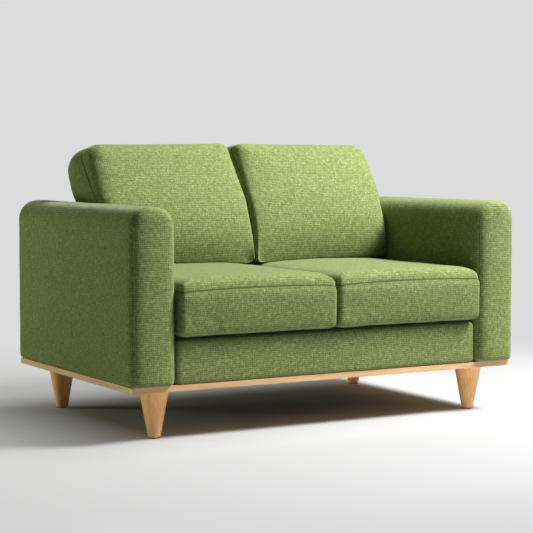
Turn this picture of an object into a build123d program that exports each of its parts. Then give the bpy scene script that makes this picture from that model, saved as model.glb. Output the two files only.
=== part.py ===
from build123d import *
import os
from math import cos, radians, sin, tan

# A two-seat sofa: padded arms, back and front rail on a timber plinth with turned legs,
# two loose seat cushions and two loose back cushions.
# Millimetres, +Z up, the front towards -Y, and +X to the right as seen from the front.
# The origin is on the floor, under the middle of the whole.

# Room for sitting
seat_width = 1074.0
seat_overhang = 25.0

# Soft layers
cloth = 2.0
ease = 0.3

# Legs and their fixings
leg_length = 140.0
leg_top_diameter = 88.0
leg_foot_diameter = 37.0
leg_foot_radius = 2.0
leg_side_inset = 107.4
leg_front_inset = 76.8
leg_back_inset = 86.3
glide_thickness = 3.0
glide_diameter = 33.0
glide_pin_diameter = 3.0
glide_pin_length = 14.0
hanger_bolt_diameter = 10.0
hanger_bolt_depth = 45.0
t_nut_flange_diameter = 24.0
t_nut_flange_thickness = 2.0
t_nut_barrel_diameter = 13.0
t_nut_barrel_length = 12.0
thread_ease = 0.1

# Plinth, a mitred frame of flat boards, set back under the upholstery
plinth_thickness = 18.0
plinth_board_width = 170.0
plinth_arris = 1.0
plinth_side_reveal = 10.0
plinth_front_reveal = 16.4
plinth_back_reveal = 9.4
dust_cover_thickness = 1.0
dust_cover_lap = 14.0

# Base beams
beam_height = 123.0
front_beam_thickness = 32.0
back_beam_thickness = 32.0
side_beam_thickness = 32.0
centre_beam_thickness = 32.0
centre_beam_height = 80.0
corner_block_leg = 70.0
corner_block_height = 70.0

# Seat springs and platform
spring_wire = 3.8
spring_count = 8
spring_side_margin = 62.0
spring_run = 30.0
spring_pitch = 32.0
clip_wall = 1.0
clip_length = 22.0
clip_depth = 12.0
clip_setback = 1.0
felt_thickness = 8.0

# Arms
arm_width = 148.0
arm_depth = 869.0
arm_height = 516.0
arm_top_radius = 60.0
arm_front_radius = 22.0
arm_back_radius = 32.0
arm_foot_radius = 8.0
arm_side_padding = 20.0
arm_end_padding = 24.0
arm_top_padding = 26.0
arm_panel = 4.0
arm_post_depth = 36.0
arm_top_rail_height = 32.0
arm_bottom_rail_height = 96.0
cover_turn_under = 20.0

# Front rail
rail_setback = 12.0
rail_end_gap = 1.5
rail_padding = 16.0
rail_end_padding = 4.0
rail_top_padding = 6.0
rail_top_radius = 12.0
rail_end_radius = 11.0

# Back
back_inset = 7.0
back_drop = 17.0
back_depth = 243.0
back_lean = 25.1
back_knee_height = 132.0
back_top_radius = 35.0
back_padding_depth = 16.0
back_wadding = 5.0
back_panel = 4.0
rib_thickness = 18.0
back_top_rail_height = 60.0
back_lumbar_rail_height = 70.0
back_lumbar_rail_depth = 28.0
back_bottom_rail_height = 60.0
back_bottom_rail_depth = 32.0
strap_width = 50.0
strap_thickness = 2.0
straps_per_bay = 4
strap_end_lap = 25.0

# Fasteners
screw_diameter = 4.5
screw_head_diameter = 9.0
screw_head_height = 3.0
screw_length = 45.0
front_screw_count = 5
side_screw_count = 3
back_screw_count = 4
screw_end_margin = 110.0
bolt_diameter = 8.0
bolt_head_diameter = 20.0
bolt_head_thickness = 4.0
bolt_grip = 40.0
arm_bolt_height = 60.0
arm_bolt_count = 3
arm_bolt_margin = 90.0
rib_bolt_low_height = 170.0
rib_bolt_high_height = 380.0

# Seat cushions
cushion_gap = 1.0
seat_boxing = 127.0
seat_rear_gap = 7.0
seat_crown = 48.0
seat_end_crown = 12.0
seat_side_swell = 4.0
seat_side_pull = 3.0
seat_corner_radius = 28.0
seat_top_radius = 18.0
seat_bottom_radius = 20.0

# Back cushions
back_cushion_thickness = 153.0
back_cushion_height = 376.2
back_cushion_lift = 32.8
back_cushion_crown = 30.0
back_cushion_end_crown = 6.0
back_cushion_top_swell = 6.0
back_cushion_pull = 4.0
back_cushion_outer_radius = 60.0
back_cushion_inner_radius = 36.0
back_cushion_foot_radius = 26.0
back_cushion_face_radius = 20.0
back_cushion_rear_radius = 16.0

# Levels and faces that follow from these sizes
x_inside = seat_width / 2
x_outside = x_inside + arm_width
y_back = (arm_depth + seat_overhang) / 2
y_front = -y_back
y_arm_front = y_back - arm_depth
z_plinth = glide_thickness + leg_length
z_base = z_plinth + plinth_thickness
z_arm_top = z_base + arm_height
z_beam_top = z_base + beam_height
z_wire = z_beam_top + clip_wall + thread_ease + spring_wire / 2
z_clip_top = z_wire + spring_wire / 2 + thread_ease + clip_wall
z_felt_top = z_clip_top + felt_thickness
z_platform = z_felt_top + cloth
z_seat = z_platform + ease
z_seat_seam = z_seat + seat_boxing

x_plinth = x_outside - plinth_side_reveal
y_plinth_front = y_arm_front + plinth_front_reveal
y_plinth_back = y_back - plinth_back_reveal
x_leg = x_plinth - leg_side_inset
y_leg_front = y_plinth_front + leg_front_inset
y_leg_back = y_plinth_back - leg_back_inset

y_rail = y_arm_front + rail_setback
y_front_beam = y_rail + cloth + ease + rail_padding
y_front_beam_rear = y_front_beam + front_beam_thickness
y_clip_front = y_front_beam_rear - clip_setback - clip_depth
y_rail_rear = y_clip_front - ease
x_rail = x_inside - rail_end_gap
x_front_beam = x_rail - cloth - ease - rail_end_padding
z_rail_top = z_beam_top + rail_top_padding + cloth + ease

y_back_rear = y_back - back_inset
y_back_front = y_back_rear - back_depth
z_back_top = z_arm_top - back_drop
z_knee = z_platform + back_knee_height
x_back = x_inside - ease
y_platform_rear = y_back_front - ease
y_back_beam = y_platform_rear - back_beam_thickness
x_side_beam_inner = x_back - side_beam_thickness
y_clip_back = y_back_beam + clip_setback

skin = cloth + ease
leg_spots = [(x, y) for y in (y_leg_front, y_leg_back) for x in (-x_leg, x_leg)]
lean_rise = Vector(sin(radians(back_lean)), cos(radians(back_lean)))
lean_face = Vector(-lean_rise.Y, lean_rise.X)


# Shapes that several pieces share
def block(x_limits, y_limits, z_limits):
    """A square-edged block between pairs of limits."""
    limits = (x_limits, y_limits, z_limits)
    middle = [(low + high) / 2 for low, high in limits]
    return Pos(*middle) * Box(*[high - low for low, high in limits])


def upright(x, y, z_limits, diameter, top_diameter=None):
    """A round bar or cone standing at x, y."""
    low, high = z_limits
    foot = (Align.CENTER, Align.CENTER, Align.MIN)
    if top_diameter is None:
        bar = Cylinder(diameter / 2, high - low, align=foot)
    else:
        bar = Cone(diameter / 2, top_diameter / 2, high - low, align=foot)
    return Pos(x, y, low) * bar


def crossbar(x_limits, y, z, diameter):
    """A round bar lying along X."""
    low, high = x_limits
    return Pos((low + high) / 2, y, z) * Rot(0, 90, 0) * Cylinder(diameter / 2, high - low)


def spread(low, high, count):
    """Evenly spaced places from low to high, both ends included."""
    return [low + (high - low) * i / (count - 1) for i in range(count)]


def side_profile(points, x_limits):
    """A flat-sided prism with this outline in the side view."""
    low, high = x_limits
    outline = Plane.YZ.offset(low) * make_face(Polyline(*points, close=True))
    return extrude(outline, high - low, dir=(1, 0, 0))


def mirrored(shape):
    """The same piece for the other side of the sofa."""
    return mirror(shape, about=Plane.YZ)


# Legs
def leg(x, y):
    cone = upright(x, y, (glide_thickness, z_plinth), leg_foot_diameter, leg_top_diameter)
    foot_edge = cone.edges().sort_by(Axis.Z)[0]
    cone = fillet(foot_edge, leg_foot_radius)
    bolt_hole = (z_plinth - hanger_bolt_depth - thread_ease, z_plinth)
    pin_hole = (glide_thickness, glide_thickness + glide_pin_length + thread_ease)
    cone -= upright(x, y, bolt_hole, hanger_bolt_diameter + 2 * thread_ease)
    return cone - upright(x, y, pin_hole, glide_pin_diameter + 2 * thread_ease)


def leg_glide(x, y):
    disc = upright(x, y, (0, glide_thickness), glide_diameter)
    return disc + upright(x, y, (glide_thickness, glide_thickness + glide_pin_length), glide_pin_diameter)


def hanger_bolt(x, y):
    return upright(x, y, (z_plinth - hanger_bolt_depth, z_base), hanger_bolt_diameter)


def t_nut(x, y):
    flange = upright(x, y, (z_base - t_nut_flange_thickness, z_base), t_nut_flange_diameter)
    barrel = upright(x, y, (z_base - t_nut_barrel_length, z_base), t_nut_barrel_diameter)
    bore = upright(x, y, (z_plinth, z_base), hanger_bolt_diameter + 2 * thread_ease)
    return flange + barrel - bore


def t_nut_seat(x, y):
    """What a T-nut and its bolt take out of the plinth."""
    play = 2 * thread_ease
    flange = (z_base - t_nut_flange_thickness, z_base)
    barrel = (z_base - t_nut_barrel_length, z_base)
    seat = upright(x, y, flange, t_nut_flange_diameter + play)
    seat += upright(x, y, barrel, t_nut_barrel_diameter + play)
    return seat + upright(x, y, (z_plinth, z_base), hanger_bolt_diameter + play)


# Screws up through the plinth
def screw_spots():
    """Where the plinth is screwed to the front beam, the arms and the back."""
    x_end = x_front_beam - screw_end_margin
    y_front_beam_middle = (y_front_beam + y_front_beam_rear) / 2
    spots = [(x, y_front_beam_middle) for x in spread(-x_end, x_end, front_screw_count)]
    x_arm = x_inside + arm_width / 2
    for y in spread(y_leg_front + screw_end_margin, y_leg_back - screw_end_margin, side_screw_count):
        spots += [(-x_arm, y), (x_arm, y)]
    y_rail_middle = y_back_rail - back_bottom_rail_depth / 2
    return spots + [(x, y_rail_middle) for x in spread(-x_end, x_end, back_screw_count)]


def screw(x, y, play=0.0):
    """A countersunk wood screw, or with some play the hole for it."""
    head = (z_plinth, z_plinth + screw_head_height)
    shank = (z_plinth, z_plinth + screw_length + play)
    cone = upright(x, y, head, screw_head_diameter + 2 * play, screw_diameter + 2 * play)
    return cone + upright(x, y, shank, screw_diameter + 2 * play)


# Plinth
def plinth_board(outer, inner):
    """One mitred board between its outer and its inner edge, with the outer arrises eased."""
    outline = make_face(Polyline(*outer, *reversed(inner), close=True))
    board = extrude(Pos(0, 0, z_plinth) * outline, plinth_thickness)
    ends = [Vector(*point) for point in outer]
    edge_middle = (ends[0] + ends[1]) / 2

    def is_outer(edge):
        middle = edge.center()
        return abs(middle.X - edge_middle.X) < plinth_arris and abs(middle.Y - edge_middle.Y) < plinth_arris

    board = fillet(board.edges().filter_by(is_outer), plinth_arris)
    for spot in leg_spots:
        board -= t_nut_seat(*spot)
    for spot in screw_spots():
        board -= screw(*spot, play=thread_ease)
    return board


def plinth_boards():
    x_inner = x_plinth - plinth_board_width
    y_inner_front = y_plinth_front + plinth_board_width
    y_inner_back = y_plinth_back - plinth_board_width
    outer = {
        "front_left": (-x_plinth, y_plinth_front),
        "front_right": (x_plinth, y_plinth_front),
        "back_right": (x_plinth, y_plinth_back),
        "back_left": (-x_plinth, y_plinth_back),
    }
    inner = {
        "front_left": (-x_inner, y_inner_front),
        "front_right": (x_inner, y_inner_front),
        "back_right": (x_inner, y_inner_back),
        "back_left": (-x_inner, y_inner_back),
    }
    sides = {
        "front": ("front_left", "front_right"),
        "right": ("front_right", "back_right"),
        "back": ("back_right", "back_left"),
        "left": ("back_left", "front_left"),
    }
    boards = {}
    for side, ends in sides.items():
        boards[f"plinth_{side}"] = plinth_board([outer[e] for e in ends], [inner[e] for e in ends])
    return boards


def dust_cover():
    """The thin cloth that closes the base from below, stapled under the plinth."""
    x_edge = x_plinth - plinth_board_width + dust_cover_lap
    y_edges = (
        y_plinth_front + plinth_board_width - dust_cover_lap,
        y_plinth_back - plinth_board_width + dust_cover_lap,
    )
    return block((-x_edge, x_edge), y_edges, (z_plinth - dust_cover_thickness, z_plinth))


# Base beams
def base_beams():
    beam_rise = (z_base, z_beam_top)
    front = block((-x_front_beam, x_front_beam), (y_front_beam, y_front_beam_rear), beam_rise)
    back = block((-x_side_beam_inner, x_side_beam_inner), (y_back_beam, y_platform_rear), beam_rise)
    right = block((x_side_beam_inner, x_back), (y_front_beam_rear, y_platform_rear), beam_rise)
    half = centre_beam_thickness / 2
    centre = block((-half, half), (y_front_beam_rear, y_back_beam), (z_base, z_base + centre_beam_height))
    for spot in screw_spots():
        front -= screw(*spot, play=thread_ease)
    right -= arm_bolts(thread_ease)
    return {
        "base_beam_front": front,
        "base_beam_back": back,
        "base_beam_right": right,
        "base_beam_left": mirrored(right),
        "base_beam_centre": centre,
    }


def corner_blocks():
    """Triangular glue blocks in the corners of the base."""
    blocks = []
    for y, turn in ((y_front_beam_rear, 1), (y_back_beam, -1)):
        corner = (x_side_beam_inner, y)
        along = (x_side_beam_inner - corner_block_leg, y)
        across = (x_side_beam_inner, y + turn * corner_block_leg)
        outline = make_face(Polyline(corner, along, across, close=True))
        glue_block = extrude(Pos(0, 0, z_base) * outline, corner_block_height, dir=(0, 0, 1))
        glue_block -= arm_bolts(thread_ease)
        blocks += [glue_block, mirrored(glue_block)]
    return Compound(blocks)


# Springs and platform
y_spring_front = y_clip_front + clip_depth / 2
y_spring_back = y_clip_back + clip_depth / 2
x_spring_end = x_side_beam_inner - spring_side_margin
spring_places = spread(-x_spring_end, x_spring_end, spring_count)


def seat_spring():
    """One sinuous wire from the front clip to the back clip, in flat half turns."""
    span = y_spring_back - y_spring_front
    turns = round(span / spring_pitch)
    step = span / turns
    path = []
    for i in range(turns + 1):
        side = 1 if i % 2 == 0 else -1
        y = y_spring_front + i * step
        run_end = (side * spring_run / 2, y)
        path.append(Line((-side * spring_run / 2, y), run_end))
        if i < turns:
            bend = (side * (spring_run / 2 + step / 2), y + step / 2)
            path.append(ThreePointArc(run_end, bend, (side * spring_run / 2, y + step)))
    start = Plane((-spring_run / 2, y_spring_front, 0), z_dir=(1, 0, 0))
    return Pos(0, 0, z_wire) * sweep(start * Circle(spring_wire / 2), path=Wire(path))


def spring_clip(x, y):
    """A folded steel clip that holds a spring's end run on a beam."""
    body = block(
        (x - clip_length / 2, x + clip_length / 2),
        (y - clip_depth / 2, y + clip_depth / 2),
        (z_beam_top, z_clip_top),
    )
    return body - crossbar((x - clip_length, x + clip_length), y, z_wire, spring_wire + 2 * thread_ease)


def platform_sheet(z_limits):
    return block((-x_back, x_back), (y_clip_front, y_platform_rear), z_limits)


# Bolts that hold the arms to the base and to the back
def arm_bolts(play=0.0):
    """The bolts of the right arm, or with some play the holes for them."""
    x_frame = x_inside + skin + arm_side_padding
    tip = x_frame + arm_panel + bolt_grip + play
    y_ends = (y_front_beam_rear + arm_bolt_margin, y_back_beam - arm_bolt_margin)
    shapes = []
    for y in spread(*y_ends, arm_bolt_count):
        shapes += bolt(x_side_beam_inner, tip, y, z_base + arm_bolt_height, play)
    y_post = y_back - skin - arm_end_padding - arm_post_depth / 2
    for height in (rib_bolt_low_height, rib_bolt_high_height):
        shapes += bolt(x_back - skin - rib_thickness, tip, y_post, z_base + height, play)
    return shapes


def bolt(x_head, x_tip, y, z, play):
    """A round-headed bolt along X, with its head against the face at x_head."""
    shank = crossbar((x_head - play, x_tip), y, z, bolt_diameter + 2 * play)
    head = crossbar((x_head - bolt_head_thickness, x_head), y, z, bolt_head_diameter)
    return [shank] if play else [shank + head]


# Arms: the right one is made, and the left one is its mirror image
def arm_form(inset):
    """The upholstered shape of an arm, drawn in by an inset all round."""
    form = block(
        (x_inside + inset, x_outside - inset),
        (y_arm_front + inset, y_back - inset),
        (z_base + inset, z_arm_top - inset),
    )
    long_top_edges = form.edges().filter_by(Axis.Y).group_by(Axis.Z)[-1]
    form = fillet(long_top_edges, arm_top_radius - inset)
    for face_place, radius in ((0, arm_front_radius), (-1, arm_back_radius)):
        face = form.faces().sort_by(Axis.Y)[face_place]
        form = fillet(face.edges().sort_by(Axis.Z)[1:], radius - inset)
    return fillet(form.faces().sort_by(Axis.Z)[0].edges(), arm_foot_radius - inset)


arm_frame_x = (x_inside + skin + arm_side_padding, x_outside - skin - arm_side_padding)
arm_frame_y = (y_arm_front + skin + arm_end_padding, y_back - skin - arm_end_padding)
arm_frame_z = (z_base + skin, z_arm_top - skin - arm_top_padding)


def arm_pieces():
    """Cover, padding, panels, posts and rails of the right arm."""
    x0, x1 = arm_frame_x
    y0, y1 = arm_frame_y
    z0, z1 = arm_frame_z
    between_panels = (x0 + arm_panel, x1 - arm_panel)
    between_posts = (y0 + arm_post_depth, y1 - arm_post_depth)
    turn = skin + cover_turn_under
    opening = block(
        (x_inside + turn, x_outside - turn),
        (y_arm_front + turn, y_back - turn),
        (z_base, z_base + skin),
    )
    frame = block(arm_frame_x, arm_frame_y, (z_base, z1))
    pieces = {
        "cover": arm_form(0) - arm_form(cloth) - opening,
        "padding": arm_form(skin) - frame,
        "inner_panel": block((x0, x0 + arm_panel), arm_frame_y, arm_frame_z),
        "outer_panel": block((x1 - arm_panel, x1), arm_frame_y, arm_frame_z),
        "front_post": block(between_panels, (y0, y0 + arm_post_depth), arm_frame_z),
        "rear_post": block(between_panels, (y1 - arm_post_depth, y1), arm_frame_z),
        "top_rail": block(between_panels, between_posts, (z1 - arm_top_rail_height, z1)),
        "bottom_rail": block(between_panels, between_posts, (z0, z0 + arm_bottom_rail_height)),
    }
    for name in ("cover", "padding", "inner_panel", "rear_post", "bottom_rail"):
        pieces[name] -= arm_bolts(thread_ease)
    for spot in screw_spots():
        pieces["bottom_rail"] -= screw(*spot, play=thread_ease)
    return pieces


# Front rail
def rail_form(inset):
    """The padded shape in front of and over the front beam."""
    form = block(
        (-x_rail + inset, x_rail - inset),
        (y_rail + inset, y_rail_rear - inset),
        (z_base + inset, z_rail_top - inset),
    )
    front_uprights = form.edges().filter_by(Axis.Z).group_by(Axis.Y)[0]
    form = fillet(front_uprights, rail_end_radius - inset)
    top_edges = form.faces().sort_by(Axis.Z)[-1].edges()
    return fillet(top_edges.sort_by(Axis.Y)[:-1], rail_top_radius - inset)


def front_rail_pieces():
    beam = block((-x_front_beam, x_front_beam), (y_front_beam, y_front_beam_rear), (z_base, z_beam_top))
    inside = rail_form(cloth)
    below = block((-x_front_beam, x_front_beam), (y_rail + cloth, y_front_beam), (z_base, z_base + cloth))
    return {
        "front_rail_cover": rail_form(0) - inside - beam - below,
        "front_rail_padding": rail_form(skin) - beam,
    }


# Back
def back_outline(front, top, rear, bottom):
    """The side view of the back, drawn in by these amounts: foot, rear, top, sloping face, upright face."""
    slope = tan(radians(back_lean))
    y_foot = y_back_front + front
    y_face = y_back_front + front / cos(radians(back_lean))
    z_top = z_back_top - top
    z_turn = z_knee - (y_face - y_foot) / slope
    return [
        (y_foot, z_base + bottom),
        (y_back_rear - rear, z_base + bottom),
        (y_back_rear - rear, z_top),
        (y_face + (z_top - z_knee) * slope, z_top),
        (y_foot, z_turn),
    ]


def back_form(inset):
    """The upholstered shape of the back, drawn in by an inset all round."""
    half = x_back - inset
    form = side_profile(back_outline(inset, inset, inset, inset), (-half, half))
    top_edges = form.faces().sort_by(Axis.Z)[-1].edges().filter_by(Axis.X)
    return fillet(top_edges, back_top_radius - inset)


x_rib = x_back - skin
back_front_depth = skin + back_padding_depth
back_top_depth = skin + back_padding_depth
back_rear_depth = skin + back_wadding
y_back_panel = y_back_rear - back_rear_depth
y_back_rail = y_back_panel - back_panel
back_timber = back_outline(
    back_front_depth + strap_thickness, back_top_depth, back_rear_depth + back_panel, skin
)
z_timber_top = z_back_top - back_top_depth


def between_levels(z_low, z_high, y_limits=(-y_back, y_back)):
    """A block right across the back, to cut timber by."""
    return block((-x_rib, x_rib), y_limits, (z_low, z_high))


def back_rails():
    """The three long timbers of the back, shaped to its side view."""
    whole = side_profile(back_timber, (-x_rib, x_rib))
    y_face = back_timber[0][0]
    top = whole & between_levels(z_timber_top - back_top_rail_height, z_timber_top)
    z_turn = back_timber[4][1]
    lumbar_rise = (z_turn - back_lumbar_rail_height / 2, z_turn + back_lumbar_rail_height / 2)
    lumbar = whole & between_levels(*lumbar_rise, (y_face, y_face + back_lumbar_rail_depth))
    foot = z_base + skin
    bottom = between_levels(
        foot, foot + back_bottom_rail_height, (y_back_rail - back_bottom_rail_depth, y_back_rail)
    )
    for spot in screw_spots():
        bottom -= screw(*spot, play=thread_ease)
    return {"back_top_rail": top, "back_lumbar_rail": lumbar, "back_bottom_rail": bottom}


def back_ribs(rails):
    """The shaped boards at the ends and the middle, notched round the long timbers."""
    ribs = {}
    half = rib_thickness / 2
    places = {"left": (-x_rib, -x_rib + rib_thickness), "centre": (-half, half)}
    for side, x_limits in places.items():
        rib = side_profile(back_timber, x_limits)
        for rail in rails.values():
            rib -= rail
        ribs[f"back_rib_{side}"] = rib
    ribs["back_rib_right"] = mirrored(ribs["back_rib_left"]) - arm_bolts(thread_ease)
    ribs["back_rib_left"] = mirrored(ribs["back_rib_right"])
    return ribs


def back_straps():
    """Elastic webbing up the sloping face, from the lumbar rail to the top rail."""
    outer = back_outline(back_front_depth, back_top_depth, back_rear_depth, skin)
    band = side_profile(outer, (-strap_width / 2, strap_width / 2))
    band -= side_profile(back_timber, (-strap_width, strap_width))
    z_low = back_timber[4][1] + ease
    band &= block(
        (-strap_width, strap_width),
        (y_back_front, y_back_panel - back_panel - strap_end_lap),
        (z_low, z_timber_top - strap_end_lap),
    )
    bay = x_rib / (straps_per_bay + 1)
    places = [bay * (i + 1) for i in range(straps_per_bay)]
    return Compound([Pos(side * x, 0, 0) * band for side in (-1, 1) for x in places])


def back_soft_pieces():
    turn = skin + cover_turn_under
    opening = block(
        (-x_back + turn, x_back - turn),
        (y_back_front + turn, y_back_rear - turn),
        (z_base, z_base + skin),
    )
    inside = back_outline(back_front_depth, back_top_depth, back_rear_depth, 0)
    cover = back_form(0) - back_form(cloth) - opening
    padding = back_form(skin) - side_profile(inside, (-x_back, x_back))
    holes = arm_bolts(thread_ease)
    holes += [mirrored(hole) for hole in holes]
    return {"back_cover": cover - holes, "back_padding": padding}


def back_rear_panel():
    return block((-x_rib, x_rib), (y_back_rail, y_back_panel), (z_base + skin, z_timber_top))


# Cushions
def padded_section(x, corners, swells):
    """An outline in the side view at x, with each side straight or swelling outwards."""
    sides = []
    for start, end, swell in zip(corners, corners[1:] + corners[:1], swells):
        sides.append(SagittaArc(start, end, -swell) if swell else Line(start, end))
    return Plane.YZ.offset(x) * make_face(sides)


def seat_cushion_form(inset):
    """A boxed seat cushion with a crowned top, for the right-hand place."""
    x0 = cushion_gap + inset
    x1 = x_inside - cushion_gap - inset
    y0 = y_front + seat_side_swell + inset
    y1 = y_back_front - seat_rear_gap - seat_side_swell - inset
    z0 = z_seat + inset
    z1 = z_seat_seam - inset
    sections = []
    for x, pull, crown in (
        (x0, 0, seat_end_crown),
        ((x0 + x1) / 2, seat_side_pull, seat_crown),
        (x1, 0, seat_end_crown),
    ):
        corners = [(y0 + pull, z0), (y1 - pull, z0), (y1 - pull, z1), (y0 + pull, z1)]
        sections.append(padded_section(x, corners, [0, seat_side_swell, crown, seat_side_swell]))
    form = loft(sections)
    z_middle = (z0 + z1) / 2
    uprights = form.edges().filter_by(lambda edge: abs(edge.center().Z - z_middle) < seat_boxing / 4)
    form = fillet(uprights, seat_corner_radius - inset)
    top_edges = form.edges().filter_by(lambda edge: edge.center().Z > z1 - ease)
    form = fillet(top_edges, seat_top_radius - inset)
    bottom_edges = form.edges().filter_by(lambda edge: edge.center().Z < z0 + ease)
    return fillet(bottom_edges, seat_bottom_radius - inset)


def back_cushion_form(inset):
    """A leaning back cushion with a crowned face, for the right-hand place."""
    x0 = cushion_gap + inset
    x1 = x_inside - cushion_gap - inset
    thickness = back_cushion_thickness - 2 * inset
    z_foot = z_seat_seam + back_cushion_lift + inset
    rear = Vector(y_back_front, z_knee) + lean_face * (ease + inset)
    foot_rear = rear + lean_rise * ((z_foot - rear.Y) / lean_rise.Y)
    face = rear + lean_face * thickness
    foot_front = face + lean_rise * ((z_foot - face.Y) / lean_rise.Y)
    sections = []
    for x, pull, crown in (
        (x0, 0, back_cushion_end_crown),
        ((x0 + x1) / 2, back_cushion_pull, back_cushion_crown),
        (x1, 0, back_cushion_end_crown),
    ):
        top_rear = foot_rear + lean_rise * (back_cushion_height - inset - pull)
        top_front = top_rear + lean_face * thickness
        corners = [foot_front, foot_rear, top_rear, top_front]
        sections.append(padded_section(x, corners, [0, 0, back_cushion_top_swell, crown]))
    form = loft(sections)

    top = foot_rear + lean_rise * (back_cushion_height - inset) + lean_face * (thickness / 2)
    foot = (foot_rear + foot_front) / 2
    for x, top_radius in ((x0, back_cushion_inner_radius), (x1, back_cushion_outer_radius)):
        form = rounded_at(form, (x, top.X, top.Y), top_radius - inset)
        form = rounded_at(form, (x, foot.X, foot.Y), back_cushion_foot_radius - inset)
    face_normal = Vector(0, lean_face.X, lean_face.Y)
    for place, radius in ((-1, back_cushion_face_radius), (0, back_cushion_rear_radius)):
        broad_face = form.faces().sort_by(lambda side: side.normal_at().dot(face_normal))[place]
        form = fillet(broad_face.edges(), radius - inset)
    return form


def rounded_at(form, point, radius):
    """The form with the edge nearest to this point rounded."""
    return fillet(form.edges().sort_by_distance(point)[0], radius)


def cushion_pieces(form, inner_name):
    """A cushion's cover and what fills it, on the left and on the right."""
    cover = form(0) - form(cloth)
    filling = form(skin)
    return {
        "left_cover": mirrored(cover),
        "right_cover": cover,
        f"left_{inner_name}": mirrored(filling),
        f"right_{inner_name}": filling,
    }


# The nodes
nodes = plinth_boards()
for place, spot in zip(("front_left", "front_right", "back_left", "back_right"), leg_spots):
    nodes[f"leg_{place}"] = leg(*spot)
nodes["leg_glides"] = Compound([leg_glide(*spot) for spot in leg_spots])
nodes["leg_hanger_bolts"] = Compound([hanger_bolt(*spot) for spot in leg_spots])
nodes["leg_t_nuts"] = Compound([t_nut(*spot) for spot in leg_spots])
nodes["plinth_screws"] = Compound([screw(*spot) for spot in screw_spots()])
nodes["dust_cover"] = dust_cover()

nodes.update(base_beams())
nodes["base_corner_blocks"] = corner_blocks()
spring = seat_spring()
nodes["seat_springs"] = Compound([Pos(x, 0, 0) * spring for x in spring_places])
spring_ends = [(x, y) for x in spring_places for y in (y_spring_front, y_spring_back)]
nodes["spring_clips"] = Compound([spring_clip(*spot) for spot in spring_ends])
nodes["seat_felt"] = platform_sheet((z_clip_top, z_felt_top))
nodes["seat_platform_cloth"] = platform_sheet((z_felt_top, z_platform))

for name, piece in arm_pieces().items():
    nodes[f"arm_right_{name}"] = piece
    nodes[f"arm_left_{name}"] = mirrored(piece)
bolts = arm_bolts()
nodes["arm_bolts"] = Compound(bolts + [mirrored(one) for one in bolts])
nodes.update(front_rail_pieces())

rails = back_rails()
nodes.update(rails)
nodes.update(back_ribs(rails))
nodes["back_webbing"] = back_straps()
nodes["back_rear_panel"] = back_rear_panel()
nodes.update(back_soft_pieces())

for name, piece in cushion_pieces(seat_cushion_form, "core").items():
    nodes[f"seat_cushion_{name}"] = piece
for name, piece in cushion_pieces(back_cushion_form, "filling").items():
    nodes[f"back_cushion_{name}"] = piece

os.makedirs("parts", exist_ok=True)
for name, shape in nodes.items():
    export_step(shape, f"parts/{name}.step")
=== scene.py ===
from math import cos, pi, radians, sin, tan

import bpy
import numpy as np
from mathutils import Matrix, Vector
from mathutils.bvhtree import BVHTree


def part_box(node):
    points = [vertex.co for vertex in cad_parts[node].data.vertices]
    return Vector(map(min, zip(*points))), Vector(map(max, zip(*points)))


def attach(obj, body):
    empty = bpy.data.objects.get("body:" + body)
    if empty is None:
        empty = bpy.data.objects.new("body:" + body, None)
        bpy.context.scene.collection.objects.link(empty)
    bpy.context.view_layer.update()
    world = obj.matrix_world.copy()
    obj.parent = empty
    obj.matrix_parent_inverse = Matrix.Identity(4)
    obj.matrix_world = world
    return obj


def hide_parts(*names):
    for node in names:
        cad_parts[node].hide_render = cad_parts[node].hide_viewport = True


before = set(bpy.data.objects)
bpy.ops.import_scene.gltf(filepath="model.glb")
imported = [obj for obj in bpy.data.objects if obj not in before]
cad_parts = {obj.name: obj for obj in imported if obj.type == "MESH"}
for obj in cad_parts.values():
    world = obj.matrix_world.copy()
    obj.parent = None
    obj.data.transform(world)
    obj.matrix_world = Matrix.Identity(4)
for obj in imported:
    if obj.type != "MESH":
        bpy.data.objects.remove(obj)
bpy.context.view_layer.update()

# A two-seat sofa: woven cloth over padding, on a beech plinth with turned legs.
# Metres, +Z up, the front towards -Y.

# The camera stands to the left of the front and a little above the arms
camera_place = (-2.6932, -4.6525, 0.8262)
camera_turn = 30.08
camera_dip = 3.87
camera_lens = 112.26
camera_sensor = 36

# Upholstered frame: its cells, the radii of its edges, and how far its sewn panels lie inside them
frame_cell = 0.008
arm_top_radius = 0.060
arm_front_radius = 0.026
arm_rear_radius = 0.032
arm_foot_radius = 0.008
arm_front_dome = 0.008
arm_panel_side = 0.008
arm_panel_top = 0.016
arm_seam_fineness = 3
rail_radius = 0.012
back_lean = radians(25.1)
back_knee = 0.432
back_top_radius = 0.035
back_end_radius = 0.012
back_panel_edge = 0.030

# All cushions: cells, room at the sides, and the radius of a sewn edge
cushion_cell = 0.007
cushion_play = 0.001
cushion_edge = 0.004

# Seat cushions: boxed up to a seam, from which the top rolls over (its reach and its height)
seat_boxing = 0.127
seat_corner = 0.012
seat_foot_radius = 0.018
seat_roll = (0.050, 0.040)
seat_swell = Vector((0.001, 0.009, 0.011))
seat_seam_bow = 0.007
seat_reach = 0.006

# Back cushions: the block they start from, and the radii of its corners
back_thickness = 0.153
back_height = 0.380
back_foot = 0.470
back_outer_corner = 0.060
back_inner_corner = 0.036
back_foot_corner = 0.022

# Back cushions: how far the front seam and the face stand ahead of the rear, low down and at the top
back_seam_low = 0.148
back_seam_top = 0.080
back_face_low = 0.184
back_face_top = 0.162
back_roll = 0.050
back_dome = 0.012
back_inner_fill = 0.028

# Back cushions: the foot that rolls under, and the part that stands free of the back and the arms
back_foot_reach = 0.165
back_foot_draw = 0.108
back_seam_draw = 0.040
back_rear_roll = (0.050, 0.012)
back_free_reach = 0.060
back_boxing_swell = 0.007
back_overhang = 0.009
back_overhang_drop = 0.030
back_swell = Vector((0.002, 0.005, 0.006))

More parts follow.
